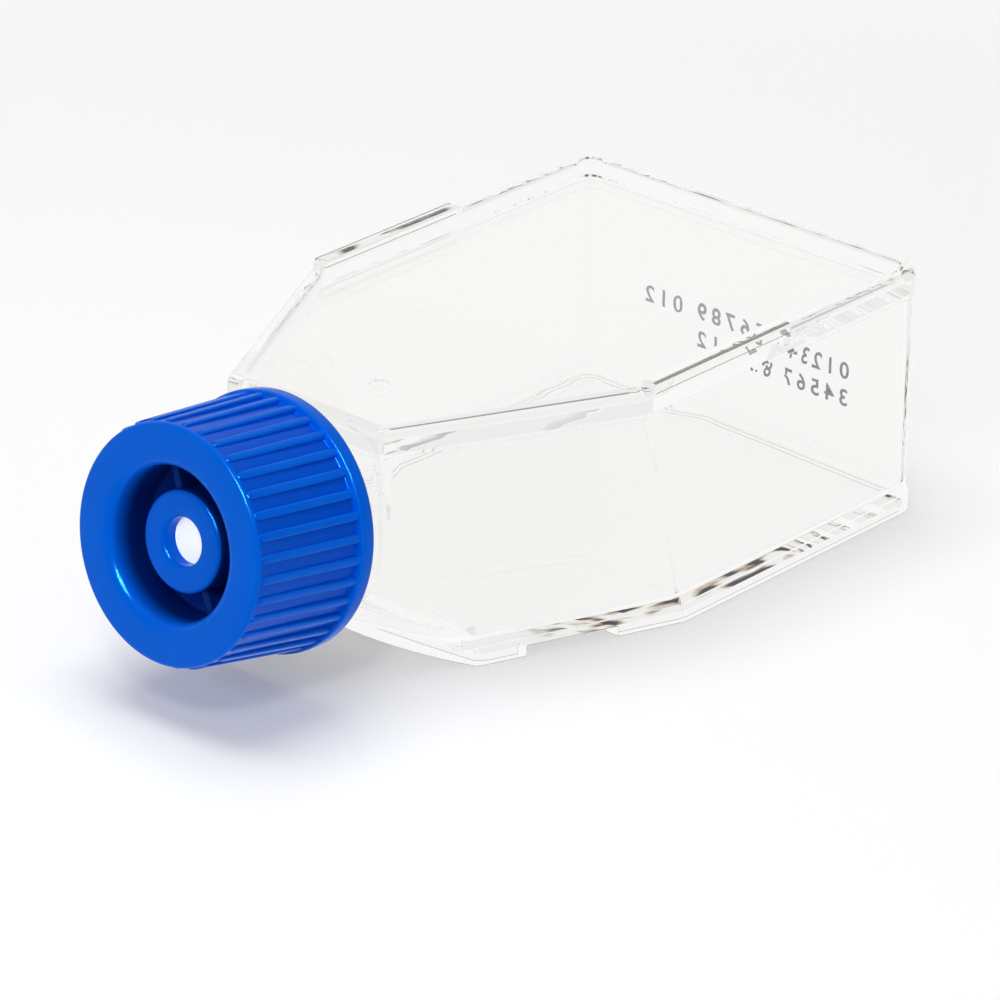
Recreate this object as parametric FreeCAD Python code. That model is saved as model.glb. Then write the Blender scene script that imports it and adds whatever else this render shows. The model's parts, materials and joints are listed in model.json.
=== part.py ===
import FreeCAD, Part
import math
import os

# A 25 cm2 cell culture flask lying on its growth face, with a canted screw neck and a vented cap.
# Drawing frame: Y = 0 at the front wall, the neck points to -Y, +Z is up, Z = 0 is the bench.
# The finished pieces are shifted along Y so that the origin lies under the middle of the whole part.

# ---- body: an open moulded tray with the neck on its front wall ----
body_width = 48.4            # over the cover and the foot
body_length = 71.4           # front wall to back wall
seam_height = 25.4           # bench to the seam under the cover
front_width = 21.6           # front wall at the seam
shoulder_at_seam = 26.5      # Y of the shoulder corners at the seam
shoulder_at_foot = 32.4      # Y of the shoulder corners at the foot
wall = 1.3                   # side, shoulder, front and back walls
ledge = 0.3                  # how far the cover and the foot stand out past the walls
back_corner_radius = 3.0
shoulder_corner_radius = 1.6
front_corner_radius = 1.0
inner_corner_radius = 1.3    # least radius of the upright corners inside

# ---- foot and floor ----
foot_height = 2.1            # visible band under the walls
foot_wall = 1.5              # skirt that stands on the bench
foot_front = 9.95            # Y of the foot's front corners
foot_front_width = 30.6      # over the foot's front corners
foot_bow = 2.75              # how far the foot's front edge bows towards the neck
floor_clearance = 0.9        # bench to the underside of the growth floor
floor_thickness = 1.4
floor_fillet = 1.1           # inside, where the floor meets the walls
vent_notch_start = 15.2      # Y range and height of the notch in the skirt under each shoulder
vent_notch_end = 25.1
vent_notch_height = 1.2

# ---- ramp from the floor up to the neck ----
ramp_foot = 8.6              # Y where the underside of the ramp leaves the foot
ramp_floor = 11.0            # Y where the ramp leaves the growth floor, inside
ramp_edge_radius = 2.4       # outside edge of the tray at the foot of the ramp
ramp_inner_radius = 1.1

# ---- cover: a flat lid welded on the tray ----
panel_thickness = 1.4
rim_height = 3.05            # seam to the top of the rim
rim_width = 1.9
rim_edge_radius = 1.0        # outside top edge
rim_inner_radius = 0.5       # inside top edge
rail_rise = 0.65             # stacking rail above the rim
rail_width = 1.8
rail_edge_radius = 0.25
rail_start = 26.9
rail_end = 48.8
rail_end_radius = 0.6
gate_mark_radius = 1.2       # sunk moulding mark on the panel
gate_mark_y = 11.6
gate_mark_depth = 0.2

# ---- neck ----
neck_tilt = 9.25             # degrees above the bench
neck_axis_drop = 9.3         # seam down to where the axis meets the front wall
neck_length = 18.4           # front wall to the lip, along the axis
neck_wall = 1.25
neck_root_bore_radius = 8.5  # past the plug the bore narrows to this
throat_radius = 11.2         # rounded underside of the front wall, about the neck axis
lip_chamfer = 0.3

# ---- screw thread, right-handed, one start ----
thread_pitch = 3.2
thread_turns = 1.25
thread_height = 0.62
thread_root_width = 1.3
thread_crest_width = 0.6
thread_gap = 0.28            # radial gap from a thread's crest to the part that it turns in
thread_start = 4.2           # lip to the middle of the neck thread's first turn
thread_sink = 0.15           # how far a thread's foot reaches into the wall that carries it

# ---- cap ----
cap_length = 16.0
cap_front_radius = 12.6
cap_rear_radius = 13.5       # over the ribs where they meet the rear band
cap_band_radius = 13.75
cap_band_start = 14.15       # front face to the rear band
cap_front_wall = 1.4
cap_edge_radius = 0.4        # rounded outer edge of the front face
cap_bore_chamfer = 0.5
seat_gap = 0.05              # cap underside to the lip
rib_count = 36
rib_start = 0.9              # front face to the noses of the ribs
rib_crest_width = 0.7
rib_foot_width = 0.95
rib_height_front = 0.2       # a rib's nose above the smooth ring in front of it
rib_height_rear = 0.6
valley_sink = 0.04           # valleys below that ring

# ---- vent in the middle of the cap ----
recess_radius = 8.1
recess_depth = 6.2
recess_edge_radius = 0.7
plug_wall = 1.0              # tube between the recess and the neck
plug_clearance = 0.09        # radial running gap from the plug to the neck
plate_thickness = 1.2        # under the recess
plug_lead_in = 0.4
boss_radius = 5.3
boss_setback = 2.1           # front face to the boss
boss_edge_radius = 0.4
vent_hole_radius = 2.5
vent_hole_edge_radius = 0.4
membrane_setback = 1.7       # boss front to the membrane
boss_wall = 1.0
web_count = 2
web_width = 0.9
web_setback = 3.6            # front face to the webs
web_turn = 63.0              # degrees from the level line to the first web

# ---- filter membrane ----
membrane_thickness = 0.25
membrane_clearance = 0.05    # radial gap in the boss


def vec(x, y, z):
    return FreeCAD.Vector(x, y, z)


# ------------------------------------------------------------------ outlines seen from above

def plan(front_half, front_y, shoulder_y, half_width, back_y):
    # six corners, counter-clockwise from the front left
    return [(-front_half, front_y), (front_half, front_y), (half_width, shoulder_y),
            (half_width, back_y), (-half_width, back_y), (-half_width, shoulder_y)]


def inset(points, distance):
    # each side moves inwards by the distance
    moved = []
    for i in range(len(points)):
        a, b = points[i], points[(i + 1) % len(points)]
        length = math.dist(a, b)
        dx, dy = (b[0] - a[0]) / length, (b[1] - a[1]) / length
        moved.append(((a[0] - dy * distance, a[1] + dx * distance), (dx, dy)))
    corners = []
    for i in range(len(points)):
        (p, d), (q, e) = moved[i - 1], moved[i]
        cross = d[0] * e[1] - d[1] * e[0]
        along = ((q[0] - p[0]) * e[1] - (q[1] - p[1]) * e[0]) / cross
        corners.append((p[0] + d[0] * along, p[1] + d[1] * along))
    return corners


def rounded_wire(points, radii, z):
    # straight sides joined by tangent arcs
    starts, ends, middles = [], [], []
    count = len(points)
    for i in range(count):
        a, b, c = points[i - 1], points[i], points[(i + 1) % count]
        before = math.dist(a, b)
        after = math.dist(b, c)
        to_a = ((a[0] - b[0]) / before, (a[1] - b[1]) / before)
        to_c = ((c[0] - b[0]) / after, (c[1] - b[1]) / after)
        half = math.acos(to_a[0] * to_c[0] + to_a[1] * to_c[1]) / 2
        reach = radii[i] / math.tan(half)
        bisector = (to_a[0] + to_c[0], to_a[1] + to_c[1])
        size = math.hypot(*bisector)
        depth = radii[i] / math.sin(half) - radii[i]
        starts.append(vec(b[0] + to_a[0] * reach, b[1] + to_a[1] * reach, z))
        ends.append(vec(b[0] + to_c[0] * reach, b[1] + to_c[1] * reach, z))
        middles.append(vec(b[0] + bisector[0] / size * depth, b[1] + bisector[1] / size * depth, z))
    edges = []
    for i in range(count):
        edges.append(Part.Arc(starts[i], middles[i], ends[i]).toShape())
        edges.append(Part.LineSegment(ends[i], starts[(i + 1) % count]).toShape())
    return Part.Wire(edges)


def corner_radii(less):
    # the six plan corners, each reduced by the wall it lies inside
    smallest = inner_corner_radius if less > 0 else 0
    front = max(front_corner_radius - less, smallest)
    shoulder = max(shoulder_corner_radius - less, smallest)
    back = max(back_corner_radius - less, smallest)
    return [front, front, shoulder, back, back, shoulder]


half_width = body_width / 2
# the shoulder line of the foot, carried forward to the front wall
foot_slope = (half_width - foot_front_width / 2) / (shoulder_at_foot - foot_front)
foot_front_half = foot_front_width / 2 - foot_front * foot_slope
seam_plan = plan(front_width / 2, 0, shoulder_at_seam, half_width, body_length)
foot_plan = plan(foot_front_half, 0, shoulder_at_foot, half_width, body_length)


def plan_at(z):
    # the outline leans evenly from the foot to the seam
    share = z / seam_height
    return [(f[0] + (s[0] - f[0]) * share, f[1] + (s[1] - f[1]) * share)
            for f, s in zip(foot_plan, seam_plan)]


def walled_block(low, high, depth):
    # a solid between two heights, whose sides lie the given depth inside the outline
    lower = rounded_wire(inset(plan_at(low), depth), corner_radii(depth), low)
    upper = rounded_wire(inset(plan_at(high), depth), corner_radii(depth), high)
    return Part.makeLoft([lower, upper], True, True)


def prism(points, radii, low, high):
    face = Part.Face(rounded_wire(points, radii, low))
    return face.extrude(vec(0, 0, high - low))


# ------------------------------------------------------------------ neck and cap frame

tilt = math.radians(neck_tilt)
neck_axis_height = seam_height - neck_axis_drop
axis_out = vec(0, -math.cos(tilt), math.sin(tilt))
cap_front_distance = neck_length + seat_gap + cap_front_wall
cap_front_centre = vec(0, 0, neck_axis_height) + axis_out * cap_front_distance
# turned pieces are drawn on the Z axis: Z = 0 at the cap's front face and +Z towards the flask
neck_placement = FreeCAD.Placement(cap_front_centre, FreeCAD.Rotation(vec(1, 0, 0), -90 - neck_tilt))
lip = cap_front_wall + seat_gap
neck_end = lip + neck_length

plug_length = recess_depth + plate_thickness - cap_front_wall
plug_radius = recess_radius + plug_wall
neck_bore_radius = plug_radius + plug_clearance
neck_radius = neck_bore_radius + neck_wall
cap_bore_radius = neck_radius + thread_height + thread_gap
nose_radius = cap_front_radius + rib_height_front

face_radius = cap_front_radius - cap_edge_radius
whole_front = cap_front_centre.y - face_radius * math.sin(tilt) - cap_edge_radius * (1 - math.cos(tilt))
shift_y = -(whole_front + body_length) / 2


def placed(shape):
    # from the drawing frame to the part's frame
    moved = shape.copy()
    moved.translate(vec(0, shift_y, 0))
    return moved


def on_neck(shape):
    moved = shape.copy()
    moved.Placement = neck_placement
    return moved


def turned(steps):
    # a closed profile of (radius, along) points turned about Z; three points in a tuple make an arc
    edges = []
    here = vec(steps[0][0], 0, steps[0][1])
    first = here
    for step in steps[1:]:
        if len(step) == 4:
            middle = vec(step[0], 0, step[1])
            there = vec(step[2], 0, step[3])
            edges.append(Part.Arc(here, middle, there).toShape())
        else:
            there = vec(step[0], 0, step[1])
            edges.append(Part.LineSegment(here, there).toShape())
        here = there
    if here.distanceToPoint(first) > 1e-6:
        edges.append(Part.LineSegment(here, first).toShape())
    face = Part.Face(Part.Wire(edges))
    return face.revolve(vec(0, 0, 0), vec(0, 0, 1), 360)


def quarter(centre_r, centre_z, radius, from_angle):
    # the middle and the end of a quarter arc that starts at from_angle, in degrees, and turns left
    middle = math.radians(from_angle + 45)
    end = math.radians(from_angle + 90)
    return (centre_r + radius * math.cos(middle), centre_z + radius * math.sin(middle),
            centre_r + radius * math.cos(end), centre_z + radius * math.sin(end))


def quarter_back(centre_r, centre_z, radius, from_angle):
    # the same, turning right
    middle = math.radians(from_angle - 45)
    end = math.radians(from_angle - 90)
    return (centre_r + radius * math.cos(middle), centre_z + radius * math.sin(middle),
            centre_r + radius * math.cos(end), centre_z + radius * math.sin(end))


def thread_ridge(foot_radius, crest_radius, along):
    # one helical ridge, its foot sunk into the wall that carries it
    side = 1 if crest_radius > foot_radius else -1
    foot = foot_radius - side * thread_sink
    height = thread_pitch * thread_turns
    helix = Part.makeLongHelix(thread_pitch, height, foot)
    half_root = thread_root_width / 2
    half_crest = thread_crest_width / 2
    profile = Part.makePolygon([vec(foot, 0, -half_root), vec(crest_radius, 0, -half_crest),
                                vec(crest_radius, 0, half_crest), vec(foot, 0, half_root),
                                vec(foot, 0, -half_root)])
    ridge = Part.Wire(helix.Edges).makePipeShell([profile], True, True)
    ridge.translate(vec(0, 0, along))
    return ridge


# ------------------------------------------------------------------ flask body

def throat_section(y, half, top_half, bottom, radius):
    # an upright section, open to above the cover, with its two lower edges rounded
    top = seam_height + rim_height
    right = [vec(top_half, y, top), vec(half, y, bottom + radius), vec(half - radius, y, bottom)]
    left = [vec(-p.x, p.y, p.z) for p in reversed(right)]
    reach = radius * (1 - math.sqrt(0.5))
    edges = [Part.LineSegment(right[0], right[1]).toShape(),
             Part.Arc(right[1], vec(half - reach, y, bottom + reach), right[2]).toShape(),
             Part.LineSegment(right[2], left[0]).toShape(),
             Part.Arc(left[0], vec(reach - half, y, bottom + reach), left[1]).toShape(),
             Part.LineSegment(left[1], left[2]).toShape(),
             Part.LineSegment(left[2], right[0]).toShape()]
    return Part.Wire(edges)


def throat_envelope(depth, rear_y, rear_z, corner):
    # what the front of the tray is trimmed to: round about the neck, flat where the floor begins
    flat_half = 0.5
    round_half = throat_radius - depth
    round_bottom = neck_axis_height - round_half
    ramp_half = foot_front_half + rear_y * foot_slope - depth + ledge
    front = throat_section(depth, round_half, round_half, round_bottom, round_half - flat_half)
    rear = throat_section(rear_y, ramp_half, half_width, rear_z, corner)
    ramp = Part.makeLoft([front, rear], True, True)
    top = seam_height + rim_height
    behind = Part.makeBox(2 * body_width, 2 * body_length, top, vec(-body_width, rear_y, 0))
    return ramp.fuse(behind)


def round_upright(solid, corner, radius):
    # rounds the upright edge at a corner of the plan
    edges = []
    for edge in solid.Edges:
        box = edge.BoundBox
        upright = box.ZLength > 0.1 and box.XLength < 0.01 and box.YLength < 0.01
        if upright and math.dist(corner, (box.XMin, box.YMin)) < 0.01:
            edges.append(edge)
    return solid.makeFillet(radius, edges)


def make_foot():
    # the band under the walls: a skirt that stands on the bench, with the growth floor inside it
    corners = plan(foot_front_width / 2, foot_front, shoulder_at_foot, half_width, body_length)
    points = [vec(x, y, 0) for x, y in corners]
    edges = [Part.Arc(points[0], vec(0, foot_front - foot_bow, 0), points[1]).toShape()]
    for start, end in zip(points[1:], points[2:] + points[:1]):
        edges.append(Part.LineSegment(start, end).toShape())
    foot = Part.Face(Part.Wire(edges)).extrude(vec(0, 0, foot_height))
    for corner, radius in zip(corners, corner_radii(0)):
        foot = round_upright(foot, corner, radius)
    hollow_wire = inset(corners, foot_wall)
    foot = foot.cut(prism(hollow_wire, corner_radii(foot_wall), 0, floor_clearance))
    notch = Part.makeBox(2 * body_width, vent_notch_end - vent_notch_start, vent_notch_height,
                         vec(-body_width, vent_notch_start, 0))
    keep = prism(hollow_wire, corner_radii(foot_wall), 0, vent_notch_height)
    return foot.cut(notch.cut(keep))


def make_cavity():
    floor_top = floor_clearance + floor_thickness
    cavity = walled_block(floor_top, seam_height, ledge + wall)
    bottom = [e for e in cavity.Edges if e.BoundBox.ZMax < floor_top + 0.01]
    cavity = cavity.makeFillet(min(floor_fillet, 0.9 * inner_corner_radius), bottom)
    return cavity.common(throat_envelope(ledge + wall, ramp_floor, floor_top, ramp_inner_radius))


def make_neck():
    # the tube and its thread, from the lip to the inside of the front wall
    reach = neck_end + 4 * wall
    tube = Part.makeCylinder(neck_radius, reach - lip, vec(0, 0, lip))
    tube = tube.makeChamfer(lip_chamfer, [tube.Edges[2]])
    crest = neck_radius + thread_height
    neck = on_neck(tube.fuse(thread_ridge(neck_radius, crest, lip + thread_start)))
    in_front = Part.makeBox(body_width, body_length, 2 * seam_height, vec(-half_width, -body_length, 0))
    in_wall = Part.makeBox(body_width, ledge + wall, seam_height, vec(-half_width, 0, 0))
    return neck.common(in_front.fuse(in_wall))


def make_neck_bore():
    # wide for the cap's plug, then narrower on into the flask
    reach = neck_end + 4 * wall
    narrow = lip + plug_length + neck_bore_radius - neck_root_bore_radius
    return on_neck(turned([(0, lip), (neck_bore_radius, lip), (neck_bore_radius, lip + plug_length),
                           (neck_root_bore_radius, narrow), (neck_root_bore_radius, reach), (0, reach)]))


def make_flask_body():
    shell_bottom = foot_height - ledge
    shell = walled_block(shell_bottom, seam_height, ledge)
    shell = shell.common(throat_envelope(ledge, ramp_foot, shell_bottom, ramp_edge_radius))
    body = shell.fuse(make_foot()).cut(make_cavity())
    body = body.fuse(make_neck()).cut(make_neck_bore())
    return body.removeSplitter()


# ------------------------------------------------------------------ top cover

def top_edges(shape):
    highest = shape.BoundBox.ZMax
    return [e for e in shape.Edges if e.BoundBox.ZMin > highest - 0.01]


def make_top_cover():
    rim_top = seam_height + rim_height
    cover = prism(seam_plan, corner_radii(0), seam_height, rim_top)
    cover = cover.makeFillet(rim_edge_radius, top_edges(cover))
    well = prism(inset(seam_plan, rim_width), corner_radii(rim_width), seam_height + panel_thickness, rim_top)
    cover = cover.cut(well)
    well_edges = [e for e in top_edges(cover) if abs(e.BoundBox.XMax) < half_width - rim_edge_radius - 0.1]
    cover = cover.makeFillet(rim_inner_radius, well_edges)
    for side in (-1, 1):
        x = side * (half_width - rail_width / 2) - rail_width / 2
        rail = Part.makeBox(rail_width, rail_end - rail_start, rim_height + rail_rise - panel_thickness,
                            vec(x, rail_start, seam_height + panel_thickness))
        across = [e for e in top_edges(rail) if e.BoundBox.XLength > rail_width / 2]
        rail = rail.makeFillet(rail_end_radius, across)
        cover = cover.fuse(rail.makeFillet(rail_edge_radius, top_edges(rail)))
    mark = Part.makeCylinder(gate_mark_radius, gate_mark_depth,
                             vec(0, gate_mark_y, seam_height + panel_thickness - gate_mark_depth))
    return cover.cut(mark).removeSplitter()


# ------------------------------------------------------------------ cap

def rib_valley():
    # the space between two ribs, a little deeper at the rear than at the front
    def section(along, crest, depth):
        floor = crest - depth
        outside = 1.1 * cap_band_radius
        step = 2 * math.pi / rib_count
        at_floor = step / 2 - rib_foot_width / 2 / floor
        at_crest = step / 2 - rib_crest_width / 2 / crest
        at_outside = at_floor + (at_crest - at_floor) * (outside - floor) / depth
        at_outside = min(at_outside, step / 2)
        corners = [(floor, -at_floor), (crest, -at_crest), (outside, -at_outside),
                   (outside, at_outside), (crest, at_crest), (floor, at_floor), (floor, -at_floor)]
        return Part.makePolygon([vec(r * math.cos(a), r * math.sin(a), along) for r, a in corners])

    front = section(rib_start, nose_radius, rib_height_front + valley_sink)
    rear = section(cap_band_start, cap_rear_radius, rib_height_rear)
    return Part.makeLoft([front, rear], True, True)


def make_cap_shell():
    plate_under = recess_depth + plate_thickness
    pocket_radius = boss_radius - boss_wall
    pocket_top = boss_setback + membrane_setback
    edge, lead = cap_edge_radius, cap_bore_chamfer
    profile = [(vent_hole_radius, boss_setback + vent_hole_edge_radius),
               (vent_hole_radius, pocket_top), (pocket_radius, pocket_top),
               (pocket_radius, plate_under), (plug_radius - plug_lead_in, plate_under),
               (plug_radius, plate_under - plug_lead_in), (plug_radius, cap_front_wall),
               (cap_bore_radius, cap_front_wall), (cap_bore_radius, cap_length - lead),
               (cap_bore_radius + lead, cap_length), (cap_band_radius - lead, cap_length),
               quarter_back(cap_band_radius - lead, cap_length - lead, lead, 90),
               (cap_band_radius, cap_band_start + (cap_band_radius - cap_rear_radius)),
               (cap_rear_radius, cap_band_start),
               (nose_radius, rib_start), (cap_front_radius, rib_start), (cap_front_radius, edge),
               quarter_back(cap_front_radius - edge, edge, edge, 0),
               (recess_radius + recess_edge_radius, 0),
               quarter_back(recess_radius + recess_edge_radius, recess_edge_radius, recess_edge_radius, 270),
               (recess_radius, recess_depth), (boss_radius, recess_depth),
               (boss_radius, boss_setback + boss_edge_radius),
               quarter_back(boss_radius - boss_edge_radius, boss_setback + boss_edge_radius,
                            boss_edge_radius, 0),
               (vent_hole_radius + vent_hole_edge_radius, boss_setback),
               quarter_back(vent_hole_radius + vent_hole_edge_radius,
                            boss_setback + vent_hole_edge_radius, vent_hole_edge_radius, 270)]
    cap = turned(profile)
    valley = rib_valley()
    valleys = []
    for i in range(rib_count):
        cutter = valley.copy()
        cutter.rotate(vec(0, 0, 0), vec(0, 0, 1), (i + 0.5) * 360 / rib_count)
        valleys.append(cutter)
    cap = cap.cut(Part.makeCompound(valleys))
    web_inner = boss_radius - boss_wall / 2
    web_outer = recess_radius + plug_wall / 2
    web_height = recess_depth + plate_thickness / 2 - web_setback
    for i in range(web_count):
        web = Part.makeBox(web_outer - web_inner, web_width, web_height,
                           vec(web_inner, -web_width / 2, web_setback))
        web.rotate(vec(0, 0, 0), vec(0, 0, 1), web_turn + i * 360 / web_count)
        cap = cap.fuse(web)
    crest = cap_bore_radius - thread_height
    ridge = thread_ridge(cap_bore_radius, crest, lip + thread_start + thread_pitch / 2)
    return on_neck(cap.fuse(ridge))


def make_filter_membrane():
    radius = boss_radius - boss_wall - membrane_clearance
    return on_neck(Part.makeCylinder(radius, membrane_thickness,
                                     vec(0, 0, boss_setback + membrane_setback)))


pieces = {
    "flask_body": make_flask_body,
    "top_cover": make_top_cover,
    "cap_shell": make_cap_shell,
    "filter_membrane": make_filter_membrane,
}

os.makedirs("parts", exist_ok=True)
for name, make in pieces.items():
    shape = placed(make())
    shape.exportStep("parts/" + name + ".step")
    box = shape.BoundBox
    print(name, "solids", len(shape.Solids), "valid", shape.isValid(), "volume", round(shape.Volume, 1),
          "x", round(box.XMin, 2), round(box.XMax, 2), "y", round(box.YMin, 2), round(box.YMax, 2),
          "z", round(box.ZMin, 2), round(box.ZMax, 2))
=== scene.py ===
import json
import math
import bpy
from mathutils import Matrix, Vector


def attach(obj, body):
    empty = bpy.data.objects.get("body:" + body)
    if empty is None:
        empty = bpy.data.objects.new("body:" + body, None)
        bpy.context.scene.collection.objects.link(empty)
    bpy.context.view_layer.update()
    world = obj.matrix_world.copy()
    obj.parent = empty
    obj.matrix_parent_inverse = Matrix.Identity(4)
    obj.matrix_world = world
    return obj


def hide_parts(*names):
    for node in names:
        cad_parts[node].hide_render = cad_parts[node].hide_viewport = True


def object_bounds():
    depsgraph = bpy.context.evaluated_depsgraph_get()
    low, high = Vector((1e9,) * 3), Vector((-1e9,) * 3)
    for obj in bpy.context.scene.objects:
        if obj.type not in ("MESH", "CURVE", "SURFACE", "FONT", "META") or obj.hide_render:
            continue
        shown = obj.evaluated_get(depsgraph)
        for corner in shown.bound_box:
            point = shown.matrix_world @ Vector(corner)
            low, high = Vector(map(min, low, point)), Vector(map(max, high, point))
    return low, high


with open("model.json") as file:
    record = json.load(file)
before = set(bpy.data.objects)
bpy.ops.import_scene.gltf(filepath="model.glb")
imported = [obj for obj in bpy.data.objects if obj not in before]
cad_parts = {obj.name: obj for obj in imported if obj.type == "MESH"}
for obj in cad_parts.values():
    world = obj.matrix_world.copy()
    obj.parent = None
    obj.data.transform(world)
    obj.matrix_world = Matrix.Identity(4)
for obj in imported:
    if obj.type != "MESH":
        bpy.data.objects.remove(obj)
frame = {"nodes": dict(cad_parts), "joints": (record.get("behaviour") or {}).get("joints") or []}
bpy.ops.object.select_all(action="DESELECT")
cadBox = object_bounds()
mm = 0.001


# shader helpers

class Wire:
    # a socket that can be used in sums, so masks and patterns read like plain maths
    def __init__(self, net, socket):
        self.net = net
        self.socket = socket

    def math(self, operation, other=None, flip=False):
        pair = (other, self) if flip else (self, other)
        values = [value for value in pair if value is not None]
        return self.net.add("ShaderNodeMath", {"operation": operation}, dict(enumerate(values)))[0]

    def __add__(self, other):
        return self.math("ADD", other)

    def __sub__(self, other):
        return self.math("SUBTRACT", other)

    def __rsub__(self, other):
        return self.math("SUBTRACT", other, flip=True)

    def __mul__(self, other):
        return self.math("MULTIPLY", other)

    __radd__ = __add__
    __rmul__ = __mul__

    def __truediv__(self, other):
        return self.math("DIVIDE", other)

    def __gt__(self, other):
        return self.math("GREATER_THAN", other)

    def __lt__(self, other):
        return self.math("LESS_THAN", other)

    def __abs__(self):
        return self.math("ABSOLUTE")


class Made:
    # a new node; node[name] or node[0] is one of its outputs
    def __init__(self, net, node):
        self.net = net
        self.node = node

    def __getitem__(self, key):
        return Wire(self.net, self.node.outputs[key])


class Net:
    # the nodes of one material or world
    def __init__(self, owner):
        owner.use_nodes = True
        self.tree = owner.node_tree
        self.tree.nodes.clear()

    def add(self, kind, settings=None, sockets=None):
        node = self.tree.nodes.new(kind)
        for name, value in (settings or {}).items():
            if name == "stops":
                ramp = node.color_ramp.elements
                while len(ramp) < len(value):
                    ramp.new(0.5)
                for stop, (place, colour) in zip(ramp, value):
                    stop.position = place
                    stop.color = colour
            else:
                setattr(node, name, value)
        for name, value in (sockets or {}).items():
            if isinstance(value, Wire):
                self.tree.links.new(value.socket, node.inputs[name])
            else:
                node.inputs[name].default_value = value
        return Made(self, node)

    def noise(self, place, scale, detail=2.0, roughness=0.5):
        sockets = {"Vector": place, "Scale": scale, "Detail": detail, "Roughness": roughness}
        return self.add("ShaderNodeTexNoise", {}, sockets)["Fac"]

    def bump(self, height, strength, distance):
        sockets = {"Height": height, "Strength": strength, "Distance": distance}
        return self.add("ShaderNodeBump", {}, sockets)["Normal"]

    def vector(self, operation, a, b=None):
        sockets = {0: a} if b is None else {0: a, 1: b}
        return self.add("ShaderNodeVectorMath", {"operation": operation}, sockets)

    def mix(self, factor, a, b):
        sockets = {0: factor, 6: a, 7: b}
        return self.add("ShaderNodeMix", {"data_type": "RGBA"}, sockets)[2]

    def fade(self, value, start, end, atStart=0.0, atEnd=1.0):
        # runs softly from one number to the other while the value goes from start to end
        sockets = {0: value, 1: start, 2: end, 3: atStart, 4: atEnd}
        return self.add("ShaderNodeMapRange", {"interpolation_type": "SMOOTHSTEP"}, sockets)[0]

    def choose(self, factor, shader, other):
        return self.add("ShaderNodeMixShader", {}, {0: factor, 1: shader, 2: other})[0]

    def finish(self, shader):
        self.add("ShaderNodeOutputMaterial", {}, {"Surface": shader})


def rgb(red, green, blue):
    # from a colour picker's 0 to 255 values to linear colour
    def linear(value):
        value = value / 255
        return value / 12.92 if value <= 0.04045 else ((value + 0.055) / 1.055) ** 2.4
    return (linear(red), linear(green), linear(blue), 1)


# finishes: places in mm, colours from 0 to 255

clearPlastic = {"tint": (0.985, 0.985, 0.978, 1), "ior": 1.5, "through": 0.92,
                "waviness": 0.04, "waveSize": 90, "waveDepth": 0.5,
                "trappedAfter": 12, "trapped": (236, 237, 236)}
# painted shade: the rail lines are dark and the foot lines grey, drawn into the clear plastic's colour
railShadeLines = {"from": 2.2, "to": 23.7, "outside": 23.8, "heights": (29.02, 27.9), "width": 0.1,
             "dark": (105, 104, 98)}
footShadeLines = {"width": 0.1, "notchMiddle": -4.77, "notchHalf": 4.95, "notchTop": 1.2, "facing": 0.5,
             "grey": (156, 157, 154)}
footGlints = {"top": 3.4, "from": 4.0, "to": 16.0, "sooner": 2, "size": 240,
              "tones": ((0.4, (66, 68, 72)), (0.47, (196, 180, 160)), (0.56, (238, 238, 236)))}


def between(value, low, high):
    return (value > low) * (value < high)


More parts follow.
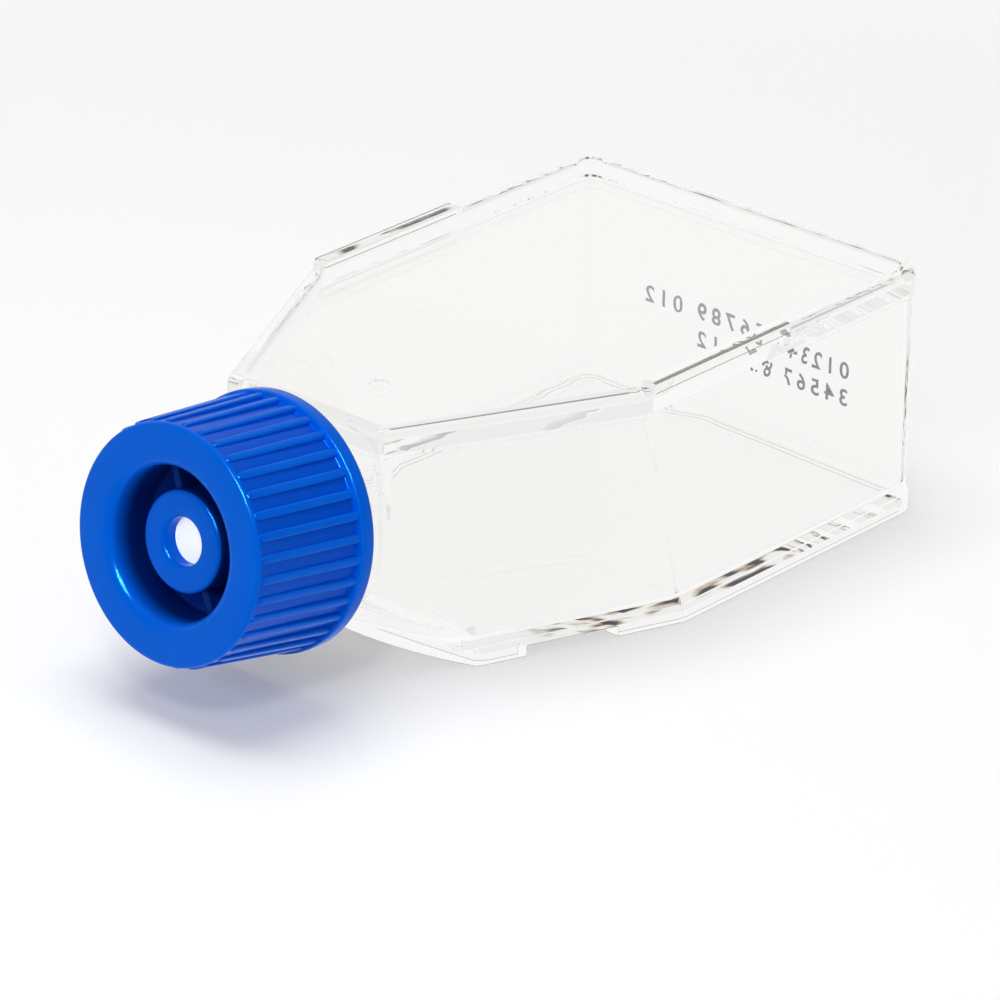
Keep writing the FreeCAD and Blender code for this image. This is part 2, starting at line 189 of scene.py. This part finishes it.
def makeClearPlastic():
    mat = bpy.data.materials.new("clearPolystyrene")
    net = Net(mat)
    coordinates = net.add("ShaderNodeTexCoord")
    place = coordinates["Object"]
    facing = net.add("ShaderNodeSeparateXYZ", {}, {0: coordinates["Normal"]})
    waves = net.noise(place, clearPlastic["waveSize"])
    normal = net.bump(waves, clearPlastic["waviness"], clearPlastic["waveDepth"] * mm)
    axes = net.add("ShaderNodeSeparateXYZ", {}, {0: place})
    x, y, z = axes["X"] / mm, axes["Y"] / mm, axes["Z"] / mm

    # painted shade: two thin dark lines on the edges of the stacking rails' outer sides, in place of the
    # dark edges that refraction gives
    onRail = between(y, railShadeLines["from"], railShadeLines["to"]) * (abs(x) > railShadeLines["outside"])
    high, low = railShadeLines["heights"]
    lines = (abs(z - high) < railShadeLines["width"]).math("MAXIMUM", abs(z - low) < railShadeLines["width"] / 2)
    colour = net.mix(lines * onRail, clearPlastic["tint"], rgb(*railShadeLines["dark"]))

    # painted shade too: grey lines on the foot's lower edge and on the edges of its notches
    width, half, top = footShadeLines["width"], footShadeLines["notchHalf"], footShadeLines["notchTop"]
    fromMiddle = abs(y - footShadeLines["notchMiddle"])
    notchTop = (fromMiddle < half) * (abs(z - top - width / 2) < width / 2)
    notchEnds = (abs(fromMiddle - half) < width / 2) * (z < top)
    notch = notchTop.math("MAXIMUM", notchEnds) * (abs(facing["X"]) > footShadeLines["facing"])
    edge = (z < width) * (abs(facing["Z"]) < footShadeLines["facing"])
    colour = net.mix(edge.math("MAXIMUM", notch), colour, rgb(*footShadeLines["grey"]))

    # light caught in a rim comes out pale; in the foot's rear it comes out in dark and amber glints,
    # where it went straight in through the foot (depths are whole numbers)
    stops = [(at, rgb(*tone)) for at, tone in footGlints["tones"]]
    spread = net.noise(place, footGlints["size"], detail=1.0)
    patches = net.add("ShaderNodeValToRGB", {"stops": stops}, {"Fac": spread})["Color"]
    path = net.add("ShaderNodeLightPath")
    straightIn = path["Transmission Depth"] < 1.5
    inFoot = (z < footGlints["top"]) * straightIn * net.fade(y, footGlints["from"], footGlints["to"])
    glow = net.add("ShaderNodeBsdfPrincipled", {}, {
        "Base Color": (0, 0, 0, 1), "Specular IOR Level": 0.0, "Emission Strength": 1.0,
        "Emission Color": net.mix(inFoot, rgb(*clearPlastic["trapped"]), patches)})["BSDF"]

    shader = net.add("ShaderNodeBsdfPrincipled", {}, {
        "Base Color": colour, "Roughness": 0.0, "IOR": clearPlastic["ior"], "Transmission Weight": 1.0,
        "Normal": normal})["BSDF"]
    caught = path["Ray Depth"] > clearPlastic["trappedAfter"] - inFoot * footGlints["sooner"]
    shader = net.choose(caught, shader, glow)
    # the lamps shine almost straight through
    through = path["Is Shadow Ray"] * clearPlastic["through"]
    net.finish(net.choose(through, shader, net.add("ShaderNodeBsdfTransparent")[0]))
    return mat


# painted shade and light: one colour darkens the recess round the boss, one the valleys between the ribs,
# and a pale painted glow takes the place of the cap's reflection in the clear rims
capPlastic = {"blue": (0, 92, 208), "deep": (0, 84, 198), "mottle": 160,
              "sunk": (0, 34, 112), "sunkFrom": 0.5, "sunkTo": 3.2, "sunkOverlap": 0.05,
              "valley": (0, 74, 190), "valleyFrom": 0.02, "valleyTo": 0.3, "outside": 12,
              "roughness": 0.19, "roughnessSpread": 0.1, "specular": 0.12, "gloss": (0.05, 0.4, 1, 1),
              "grain": 2600, "grainStrength": 0.12, "grainDepth": 0.05, "mirrored": (236, 237, 236)}


def makeCapPlastic():
    mat = bpy.data.materials.new("bluePolyethylene")
    net = Net(mat)
    place = net.add("ShaderNodeTexCoord")["Object"]
    mottle = net.noise(place, capPlastic["mottle"], detail=3.0)
    grain = net.noise(place, capPlastic["grain"], detail=3.0)
    colour = net.mix(mottle, rgb(*capPlastic["blue"]), rgb(*capPlastic["deep"]))
    # painted shade: the colour darkens further down in the ring-shaped recess round the boss
    centre, inwards = capPlace().translation, capPlace().col[2].xyz
    fromFace = net.vector("SUBTRACT", place, centre)["Vector"]
    depth = net.vector("DOT_PRODUCT", fromFace, inwards)["Value"] / mm
    radius = net.vector("LENGTH", net.vector("CROSS_PRODUCT", fromFace, inwards)["Vector"])["Value"] / mm
    sunk = net.fade(depth, capPlastic["sunkFrom"], capPlastic["sunkTo"])
    inner, outer = cap["bossRadius"] - capPlastic["sunkOverlap"], cap["recessRadius"] + cap["recessEdge"]
    colour = net.mix(sunk * between(radius, inner, outer), colour, rgb(*capPlastic["sunk"]))
    # painted shade: a little darker in the valleys between the ribs
    slope = (cap["valleyRear"] - cap["frontRadius"]) / cap["bandStart"]
    rise = radius - cap["frontRadius"] - depth * slope
    low = net.fade(rise, capPlastic["valleyFrom"], capPlastic["valleyTo"], 1.0, 0.0)
    skirt = (radius > capPlastic["outside"]) * between(depth, ribs["noseStart"], cap["bandStart"])
    colour = net.mix(low * skirt, colour, rgb(*capPlastic["valley"]))
    shader = net.add("ShaderNodeBsdfPrincipled", {}, {
        "Base Color": colour,
        "Roughness": capPlastic["roughness"] + capPlastic["roughnessSpread"] * (mottle - 0.5),
        "Specular IOR Level": capPlastic["specular"], "Specular Tint": capPlastic["gloss"],
        "Normal": net.bump(grain, capPlastic["grainStrength"], capPlastic["grainDepth"] * mm)})["BSDF"]
    # painted glow: seen mirrored in the clear rims, the cap shows a flat pale colour instead of its
    # reflection
    path = net.add("ShaderNodeLightPath")
    inRim = (path["Transmission Depth"] > 0.5) * (path["Glossy Depth"] > 0.5)
    pale = net.add("ShaderNodeEmission", {}, {"Color": rgb(*capPlastic["mirrored"])})[0]
    net.finish(net.choose(inRim, shader, pale))
    return mat


membrane = {"white": (246, 248, 250), "grey": (228, 232, 236), "roughness": 0.8, "glow": 0.28,
            "pores": 4000, "poreStrength": 0.4, "poreDepth": 0.04}


def makeMembrane():
    mat = bpy.data.materials.new("microporousMembrane")
    net = Net(mat)
    place = net.add("ShaderNodeTexCoord")["Object"]
    pores = net.noise(place, membrane["pores"], detail=4.0, roughness=0.7)
    # painted light: the membrane glows faintly, standing in for light that shines through it
    shader = net.add("ShaderNodeBsdfPrincipled", {}, {
        "Base Color": net.mix(pores, rgb(*membrane["grey"]), rgb(*membrane["white"])),
        "Roughness": membrane["roughness"],
        "Normal": net.bump(pores, membrane["poreStrength"], membrane["poreDepth"] * mm),
        "Emission Color": (1, 1, 1, 1), "Emission Strength": membrane["glow"]})["BSDF"]
    net.finish(shader)
    return mat


# modelling helpers

sameSpot = {"copied": 0.5e-6, "made": 1e-6}


def only(piece):
    bpy.ops.object.select_all(action="DESELECT")
    piece.select_set(True)
    bpy.context.view_layer.objects.active = piece


def mergedCopy(node, name):
    # the node's own mesh is loose triangles, so a copy is joined up first
    piece = frame["nodes"][node].copy()
    piece.data = piece.data.copy()
    piece.name = name
    piece.parent = None
    piece.matrix_world = Matrix()
    bpy.context.collection.objects.link(piece)
    only(piece)
    bpy.ops.object.mode_set(mode="EDIT")
    bpy.ops.mesh.select_all(action="SELECT")
    bpy.ops.mesh.remove_doubles(threshold=sameSpot["copied"])
    bpy.ops.mesh.customdata_custom_splitnormals_clear()
    bpy.ops.object.mode_set(mode="OBJECT")
    return piece


def applyModifier(piece, kind, **settings):
    only(piece)
    modifier = piece.modifiers.new(kind.title(), kind)
    for name, value in settings.items():
        setattr(modifier, name, value)
    bpy.ops.object.modifier_apply(modifier=modifier.name)


def paint(piece, mat):
    piece.data.materials.clear()
    piece.data.materials.append(mat)


# clear shell: the tray and its cover, welded into one

shell = {"smoothAngle": 32}


def makeShell():
    tray = mergedCopy("flask_body", "clearShell")
    cover = mergedCopy("top_cover", "coverCopy")
    applyModifier(tray, "BOOLEAN", object=cover, operation="UNION", solver="EXACT")
    bpy.data.objects.remove(cover)
    only(tray)
    bpy.ops.object.shade_smooth_by_angle(angle=math.radians(shell["smoothAngle"]))
    paint(tray, makeClearPlastic())
    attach(tray, "flask")
    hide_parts("flask_body", "top_cover")
    print("clear shell:", len(tray.data.polygons), "faces")
    return tray


clearShell = makeShell()


# plain numbers printed on the back wall, read from behind, in mm

numbers = {"rows": (("01234 56789 012", 12.3), ("34567 89012", 9.0)), "start": 14.4, "size": 2.8,
           "spacing": 1.48, "bold": 0.045, "thickness": 0.01, "intoWall": 0.1,
           "ink": (98, 100, 108), "worn": (142, 144, 150), "wear": 900, "roughness": 0.7, "specular": 0.2}


def makeInk():
    mat = bpy.data.materials.new("greyInk")
    net = Net(mat)
    place = net.add("ShaderNodeTexCoord")["Object"]
    wear = net.noise(place, numbers["wear"], detail=3.0, roughness=0.6)
    shader = net.add("ShaderNodeBsdfPrincipled", {}, {
        "Base Color": net.mix(wear, rgb(*numbers["ink"]), rgb(*numbers["worn"])),
        "Roughness": numbers["roughness"], "Specular IOR Level": numbers["specular"]})["BSDF"]
    # seen through the plastic, but not mirrored in it
    mirrored = net.add("ShaderNodeLightPath")["Glossy Depth"] > 0.5
    net.finish(net.choose(mirrored, shader, net.add("ShaderNodeBsdfTransparent")[0]))
    return mat


def makeNumbers(tray):
    ink = makeInk()
    lines = []
    for text, height in numbers["rows"]:
        bpy.ops.object.text_add()
        line = bpy.context.object
        line.data.body = text
        line.data.size = numbers["size"] * mm
        line.data.space_character = numbers["spacing"]
        line.data.offset = numbers["bold"] * mm
        line.data.extrude = numbers["thickness"] * mm
        only(line)
        bpy.ops.object.convert(target="MESH")
        line = bpy.context.object
        # just behind the back wall, found from inside the flask
        start, back = Vector((numbers["start"], 0, height)) * mm, Vector((0, 1, 0))
        inner = tray.ray_cast(start, back)[1]
        outer = tray.ray_cast(inner + back * numbers["intoWall"] * mm, back)[1]
        line.location = (start.x, outer.y + 2 * numbers["thickness"] * mm, start.z)
        line.rotation_euler = (math.radians(90), 0, math.radians(180))
        bpy.ops.object.transform_apply(location=True, rotation=True, scale=True)
        measures = (outer.y, line.dimensions.x, line.dimensions.z)
        print("numbers at", [round(value / mm, 2) for value in measures])
        lines.append(line)
    only(lines[0])
    lines[1].select_set(True)
    bpy.ops.object.join()
    lines[0].name = "printedNumbers"
    paint(lines[0], ink)
    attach(lines[0], "flask")


makeNumbers(clearShell)


# cap: a turned shell with ribs, a sunk vent and a thread inside, in mm from its front face

cap = {"steps": 144, "frontRadius": 12.6, "frontEdge": 0.4, "valleyRear": 12.9, "bandStart": 14.1,
       "bandRadius": 13.75, "bandEdge": 0.3, "bandFoot": 0.28, "length": 16.0, "rearEdge": 0.5,
       "boreRadius": 11.34, "frontWall": 1.4, "plugRadius": 9.1, "plateBack": 7.4, "plugLead": 0.4,
       "recessRadius": 8.1, "recessEdge": 1.1, "recessDepth": 6.2, "recessFillet": 0.5,
       "bossRadius": 5.35, "bossSetback": 2.1, "bossEdge": 0.45, "holeRadius": 2.5, "holeEdge": 0.55,
       "pocketRadius": 4.3, "pocketFront": 3.8, "smoothAngle": 35}
# a nose station is its distance from the rib's start, and its shares of the width and height
ribs = {"count": 36, "noseStart": 0.5, "noseHeight": 0.26, "rearHeight": 0.6, "width": 0.92,
        "rounding": 0.3, "sink": 0.02, "intoBand": 0.4,
        "nose": ((0, 0.4, 0.15), (0.1, 0.7, 0.5), (0.3, 0.9, 0.85), (0.75, 1, 1))}
webs = {"turns": (63, 243), "width": 0.9, "setback": 3.6, "overlap": 0.3, "edge": 0.08}
thread = {"start": 7.25, "pitch": 3.2, "turns": 1.25, "root": 1.3, "crest": 0.6, "height": 0.62,
          "sink": 0.15, "steps": 90}


def roundCorner(radius, along, size, fromTurn, toTurn, steps=5):
    # points of a rounded corner of a turned outline, about the corner circle's centre
    turns = [math.radians(fromTurn + (toTurn - fromTurn) * i / steps) for i in range(steps + 1)]
    return [(radius + size * math.cos(turn), along + size * math.sin(turn)) for turn in turns]


def capOutline():
    # from the vent hole out over the front, along the side and back through the inside
    hole, boss, recess = cap["holeRadius"], cap["bossRadius"], cap["recessRadius"]
    outline = [(hole, cap["pocketFront"])]
    setback, edge = cap["bossSetback"], cap["holeEdge"]
    outline += roundCorner(hole + edge, setback + edge, edge, 180, 270)
    edge = cap["bossEdge"]
    outline += roundCorner(boss - edge, setback + edge, edge, 270, 360)
    floor, fillet = cap["recessDepth"], cap["recessFillet"]
    outline += roundCorner(boss + fillet, floor - fillet, fillet, 180, 90)
    outline += roundCorner(recess - fillet, floor - fillet, fillet, 90, 0)
    edge = cap["recessEdge"]
    outline += roundCorner(recess + edge, edge, edge, 180, 270, steps=8)
    front, edge = cap["frontRadius"], cap["frontEdge"]
    outline += roundCorner(front - edge, edge, edge, 270, 360)
    outline.append((front, ribs["noseStart"]))
    foot = cap["bandFoot"]
    outline += roundCorner(cap["valleyRear"] + foot, cap["bandStart"] - foot, foot, 180, 90)
    band, edge = cap["bandRadius"], cap["bandEdge"]
    outline += roundCorner(band - edge, cap["bandStart"] + edge, edge, 270, 360)
    length, edge = cap["length"], cap["rearEdge"]
    outline += roundCorner(band - edge, length - edge, edge, 0, 90)
    bore = cap["boreRadius"]
    outline += [(bore + edge, length), (bore, length - edge), (bore, cap["frontWall"])]
    plug, back, lead = cap["plugRadius"], cap["plateBack"], cap["plugLead"]
    outline += [(plug, cap["frontWall"]), (plug, back - lead), (plug - lead, back)]
    outline += [(cap["pocketRadius"], back), (cap["pocketRadius"], cap["pocketFront"]), outline[0]]
    return outline


def tidyMesh():
    # in edit mode: closes the doubled points and turns the faces outwards
    bpy.ops.mesh.select_all(action="SELECT")
    bpy.ops.mesh.remove_doubles(threshold=sameSpot["made"])
    bpy.ops.mesh.normals_make_consistent(inside=False)
    bpy.ops.mesh.select_all(action="DESELECT")


def turnOutline(name, outline, steps):
    # one ring, extruded from point to point of the outline
    bpy.ops.object.select_all(action="DESELECT")
    bpy.ops.mesh.primitive_circle_add(vertices=steps, radius=outline[0][0] * mm, fill_type="NOTHING")
    piece = bpy.context.object
    piece.name = name
    bpy.ops.object.mode_set(mode="EDIT")
    bpy.ops.transform.translate(value=(0, 0, outline[0][1] * mm))
    for (radius, along), (nextRadius, nextAlong) in zip(outline, outline[1:]):
        move = (0, 0, (nextAlong - along) * mm)
        bpy.ops.mesh.extrude_region_move(TRANSFORM_OT_translate={"value": move})
        grow = nextRadius / radius
        bpy.ops.transform.resize(value=(grow, grow, 1), center_override=(0, 0, nextAlong * mm))
    tidyMesh()
    bpy.ops.object.mode_set(mode="OBJECT")
    return piece


def makeRib():
    # a rounded bar along the valley floor, drawn in from a small nose, at the +X side
    foot, start = cap["frontRadius"] - ribs["sink"], ribs["noseStart"]
    slope = (cap["valleyRear"] - cap["frontRadius"]) / (cap["bandStart"] - start)
    nose = [(start + along, wide, ribs["noseHeight"] * high) for along, wide, high in ribs["nose"]]
    stations = nose + [(cap["bandStart"] + ribs["intoBand"], 1, ribs["rearHeight"])]
    bpy.ops.object.select_all(action="DESELECT")
    bpy.ops.mesh.primitive_plane_add(size=mm)
    rib = bpy.context.object
    rib.name = "rib"
    bpy.ops.object.mode_set(mode="EDIT")
    bpy.ops.mesh.bevel(offset=ribs["rounding"] * mm, segments=4, affect="VERTICES")
    bpy.ops.transform.translate(value=(foot * mm, 0, start * mm))
    place, width, height = start, 1.0, 1.0
    for along, wide, high in stations:
        if along > place:
            move = (slope * (along - place) * mm, 0, (along - place) * mm)
            bpy.ops.mesh.extrude_region_move(TRANSFORM_OT_translate={"value": move})
            place = along
        # half of the bar is under the valley floor
        newWidth, newHeight = ribs["width"] * wide, 2 * high
        centre = ((foot + slope * (place - start)) * mm, 0, place * mm)
        bpy.ops.transform.resize(value=(newHeight / height, newWidth / width, 1), center_override=centre)
        width, height = newWidth, newHeight
    tidyMesh()
    bpy.ops.object.mode_set(mode="OBJECT")
    return rib


def turnedCopy(source, degrees):
    # a copy with its own mesh, turned about the cap's axis
    copy = source.copy()
    copy.data = source.data.copy()
    copy.rotation_euler = (0, 0, math.radians(degrees))
    bpy.context.collection.objects.link(copy)
    only(copy)
    bpy.ops.object.transform_apply(rotation=True)
    return copy


def makeWeb():
    # a plate from the boss out to the wall of the recess, its front edge softened
    inner, outer = cap["bossRadius"] - webs["overlap"], cap["recessRadius"] + webs["overlap"]
    bpy.ops.object.select_all(action="DESELECT")
    bpy.ops.mesh.primitive_cube_add(size=mm)
    web = bpy.context.object
    bpy.ops.object.mode_set(mode="EDIT")
    depth = cap["recessDepth"] + webs["overlap"] - webs["setback"]
    bpy.ops.transform.resize(value=(outer - inner, webs["width"], depth))
    bpy.ops.transform.translate(value=((outer + inner) / 2 * mm, 0, (webs["setback"] + depth / 2) * mm))
    bpy.ops.object.mode_set(mode="OBJECT")
    applyModifier(web, "BEVEL", width=webs["edge"] * mm, segments=3)
    return web


def makeThread():
    # the ridge that runs in the neck's thread
    bpy.ops.object.select_all(action="DESELECT")
    bpy.ops.mesh.primitive_plane_add(size=mm, rotation=(math.radians(90), 0, 0))
    ridge = bpy.context.object
    ridge.name = "threadRidge"
    bpy.ops.object.transform_apply(rotation=True)
    foot = cap["boreRadius"] + thread["sink"]
    deep = thread["height"] + thread["sink"]
    bpy.ops.object.mode_set(mode="EDIT")
    bpy.ops.transform.resize(value=(deep, 1, thread["root"]))
    bpy.ops.transform.translate(value=((foot - deep / 2) * mm, 0, thread["start"] * mm))
    bpy.ops.mesh.select_all(action="DESELECT")
    bpy.ops.object.mode_set(mode="OBJECT")
    for point in ridge.data.vertices:
        point.select = point.co.x < (foot - deep / 2) * mm
    bpy.ops.object.mode_set(mode="EDIT")
    narrow = thread["crest"] / thread["root"]
    bpy.ops.transform.resize(value=(1, 1, narrow), center_override=(0, 0, thread["start"] * mm))
    bpy.ops.mesh.select_all(action="SELECT")
    bpy.ops.mesh.delete(type="ONLY_FACE")
    bpy.ops.object.mode_set(mode="OBJECT")
    turn, rise = math.radians(360 * thread["turns"]), thread["pitch"] * thread["turns"] * mm
    applyModifier(ridge, "SCREW", axis="Z", angle=turn, screw_offset=rise,
                  steps=thread["steps"], render_steps=thread["steps"], use_smooth_shade=True)
    only(ridge)
    bpy.ops.object.mode_set(mode="EDIT")
    bpy.ops.mesh.select_all(action="SELECT")
    bpy.ops.mesh.fill_holes(sides=6)
    tidyMesh()
    bpy.ops.object.mode_set(mode="OBJECT")
    return ridge


def capPlace():
    # the cap's own frame: its front face's middle, with Z towards the flask
    turn = next(joint for joint in frame["joints"] if joint["name"] == "cap_turn")
    inwards = -Vector(turn["axis"])
    down = inwards.cross(Vector((1, 0, 0)))
    centre = Vector(turn["pos_m"])
    return Matrix(((1, down.x, inwards.x, centre.x), (0, down.y, inwards.y, centre.y),
                   (0, down.z, inwards.z, centre.z), (0, 0, 0, 1)))


def makeCap():
    shellOfCap = turnOutline("screwCap", capOutline(), cap["steps"])
    rib = makeRib()
    extras = [turnedCopy(rib, 360 * i / ribs["count"]) for i in range(ribs["count"])]
    web = makeWeb()
    extras += [turnedCopy(web, turn) for turn in webs["turns"]]
    extras.append(makeThread())
    bpy.data.objects.remove(rib)
    bpy.data.objects.remove(web)
    only(shellOfCap)
    for extra in extras:
        extra.select_set(True)
    bpy.ops.object.join()
    shellOfCap.matrix_world = capPlace()
    only(shellOfCap)
    bpy.ops.object.transform_apply(location=True, rotation=True, scale=True)
    bpy.ops.object.shade_smooth_by_angle(angle=math.radians(cap["smoothAngle"]))
    paint(shellOfCap, makeCapPlastic())
    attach(shellOfCap, "cap")
    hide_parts("cap_shell")
    print("cap:", len(shellOfCap.data.polygons), "faces")
    return shellOfCap


screwCap = makeCap()
paint(frame["nodes"]["filter_membrane"], makeMembrane())


# floor, light and camera, in metres

studio = {"floor": (250, 250, 250), "floorSize": 6.0, "floorRoughness": 0.7, "white": 0.96, "skyLight": 0.28,
          "floorWhite": {"seen": 0.18, "through": 0.9, "from": 0.09, "to": 0.26},
          "lamps": {"overhead": {"power": 1.9, "size": 0.36, "place": (-0.06, 0.0, 0.55), "gloss": False},
                    "front": {"power": 1.4, "size": 0.22, "place": (0.05, -0.7, 0.34), "gloss": False},
                    "right": {"power": 0.6, "size": 0.1, "place": (0.25, -0.37, 0.5), "gloss": False},
                    "low": {"power": 0.35, "size": 0.14, "place": (0.4, -0.12, 0.04), "gloss": False},
                    "sparkle": {"power": 65.0, "size": 0.26, "place": (0.25, -0.37, 0.5), "gloss": True}}}
# darker parts of the sky: how far towards them they start, how bright they are and how high they go
flags = {"facing": (0.67, 0.742), "front": {"from": 0.35, "level": 0.3},
         "right": {"from": 0.5, "level": 0.55}, "low": {"from": 0.35, "level": 0.45, "top": 0.12}}
# bounces more than the clear plastic asks for, and clear layers that a shadow passes
lightPaths = {"spare": 2, "layers": 24}


def makeFloor():
    bpy.ops.mesh.primitive_plane_add(size=studio["floorSize"], location=(0, 0, cadBox[0][2]))
    floor = bpy.context.object
    floor.name = "floor"
    only(floor)
    bpy.ops.object.transform_apply(location=True)
    mat = bpy.data.materials.new("studioFloor")
    net = Net(mat)
    lit = net.add("ShaderNodeBsdfPrincipled", {}, {
        "Base Color": rgb(*studio["floor"]), "Roughness": studio["floorRoughness"],
        "Specular IOR Level": 0.0})["BSDF"]
    white = net.add("ShaderNodeEmission", {}, {"Color": (studio["white"],) * 3 + (1,)})[0]
    path = net.add("ShaderNodeLightPath")
    whiter = studio["floorWhite"]
    inGlass = path["Is Transmission Ray"].math("MAXIMUM", path["Is Glossy Ray"])
    # the floor runs out to plain white away from the flask
    away = net.vector("LENGTH", net.add("ShaderNodeTexCoord")["Object"])["Value"]
    seen = net.fade(away, whiter["from"], whiter["to"], whiter["seen"], 1.0)
    share = path["Is Camera Ray"] * seen + inGlass * whiter["through"]
    net.finish(net.choose(share, lit, white))
    paint(floor, mat)


def makeSky():
    # white where it is seen, straight or through the plastic, and dimmer as a light; a dim front,
    # a flag on the right and the far edge of the table give clear edges their lines
    world = bpy.data.worlds.new("studio")
    bpy.context.scene.world = world
    net = Net(world)
    toward = net.add("ShaderNodeTexCoord")["Generated"]
    side = net.add("ShaderNodeSeparateXYZ", {}, {0: toward})
    across, ahead = flags["facing"]
    toFront = side["X"] * across - side["Y"] * ahead
    toRight = side["X"] * ahead + side["Y"] * across
    inside = {"front": toFront > flags["front"]["from"], "right": toRight > flags["right"]["from"],
              "low": (toFront < -flags["low"]["from"]) * (side["Z"] < flags["low"]["top"])}
    through = 1.0
    for name, mask in inside.items():
        through = (1 - mask * (1 - flags[name]["level"])).math("MINIMUM", through)
    through = through * studio["white"]
    path = net.add("ShaderNodeLightPath")
    strength = studio["skyLight"]
    for ray, value in (("Is Glossy Ray", through), ("Is Transmission Ray", through),
                       ("Is Camera Ray", studio["white"])):
        strength = path[ray] * value + (1 - path[ray]) * strength
    sky = net.add("ShaderNodeBackground", {}, {"Color": (1, 1, 1, 1), "Strength": strength})
    net.add("ShaderNodeOutputWorld", {}, {"Surface": sky["Background"]})


def makeLamps(shiny):
    # highlights on the cap come from a lamp that lights nothing else
    shinyOnly = bpy.data.collections.new("shinyOnly")
    shinyOnly.objects.link(shiny)
    for name, spec in studio["lamps"].items():
        lamp = bpy.data.lights.new(name, "AREA")
        lamp.energy = spec["power"]
        lamp.size = spec["size"]
        holder = bpy.data.objects.new(name, lamp)
        holder.location = spec["place"]
        holder.visible_glossy = spec["gloss"]
        holder.visible_diffuse = not spec["gloss"]
        holder.visible_transmission = False
        holder.rotation_euler = (-Vector(spec["place"])).to_track_quat("-Z", "Y").to_euler()
        bpy.context.collection.objects.link(holder)
        if spec["gloss"]:
            holder.light_linking.receiver_collection = shinyOnly


view = {"azimuth": 42.0793, "elevation": 25.1345, "roll": 0.2625, "distance": 0.690,
        "aim": (-0.00931, 0.01558, 0.00066), "lens": 228.55, "sensor": 36, "nearest": 0.01}


def makeCamera():
    cam = bpy.data.cameras.new("camera")
    cam.lens = view["lens"]
    cam.sensor_width = view["sensor"]
    cam.clip_start = view["nearest"]
    holder = bpy.data.objects.new("camera", cam)
    turn, rise, roll = (math.radians(view[name]) for name in ("azimuth", "elevation", "roll"))
    back = Vector((math.sin(turn) * math.cos(rise), -math.cos(turn) * math.cos(rise), math.sin(rise)))
    right = Vector((math.cos(turn), math.sin(turn), 0))
    up = back.cross(right)
    rightRolled = right * math.cos(roll) + up * math.sin(roll)
    upRolled = up * math.cos(roll) - right * math.sin(roll)
    place = Vector(view["aim"]) + back * view["distance"]
    holder.matrix_world = Matrix((
        (rightRolled.x, upRolled.x, back.x, place.x),
        (rightRolled.y, upRolled.y, back.y, place.y),
        (rightRolled.z, upRolled.z, back.z, place.z),
        (0, 0, 0, 1)))
    bpy.context.collection.objects.link(holder)
    bpy.context.scene.camera = holder


makeFloor()
makeSky()
makeLamps(screwCap)
makeCamera()
bpy.context.scene.view_settings.view_transform = "Standard"
# long light paths, because light crosses many walls of the flask
cycles = bpy.context.scene.cycles
longest = clearPlastic["trappedAfter"] + lightPaths["spare"]
cycles.max_bounces = longest
cycles.glossy_bounces = longest
cycles.transmission_bounces = longest
cycles.transparent_max_bounces = lightPaths["layers"]
# an even sky and five lamps need no search for the brightest light
cycles.use_light_tree = False
bpy.context.scene.world.cycles.sampling_method = "NONE"
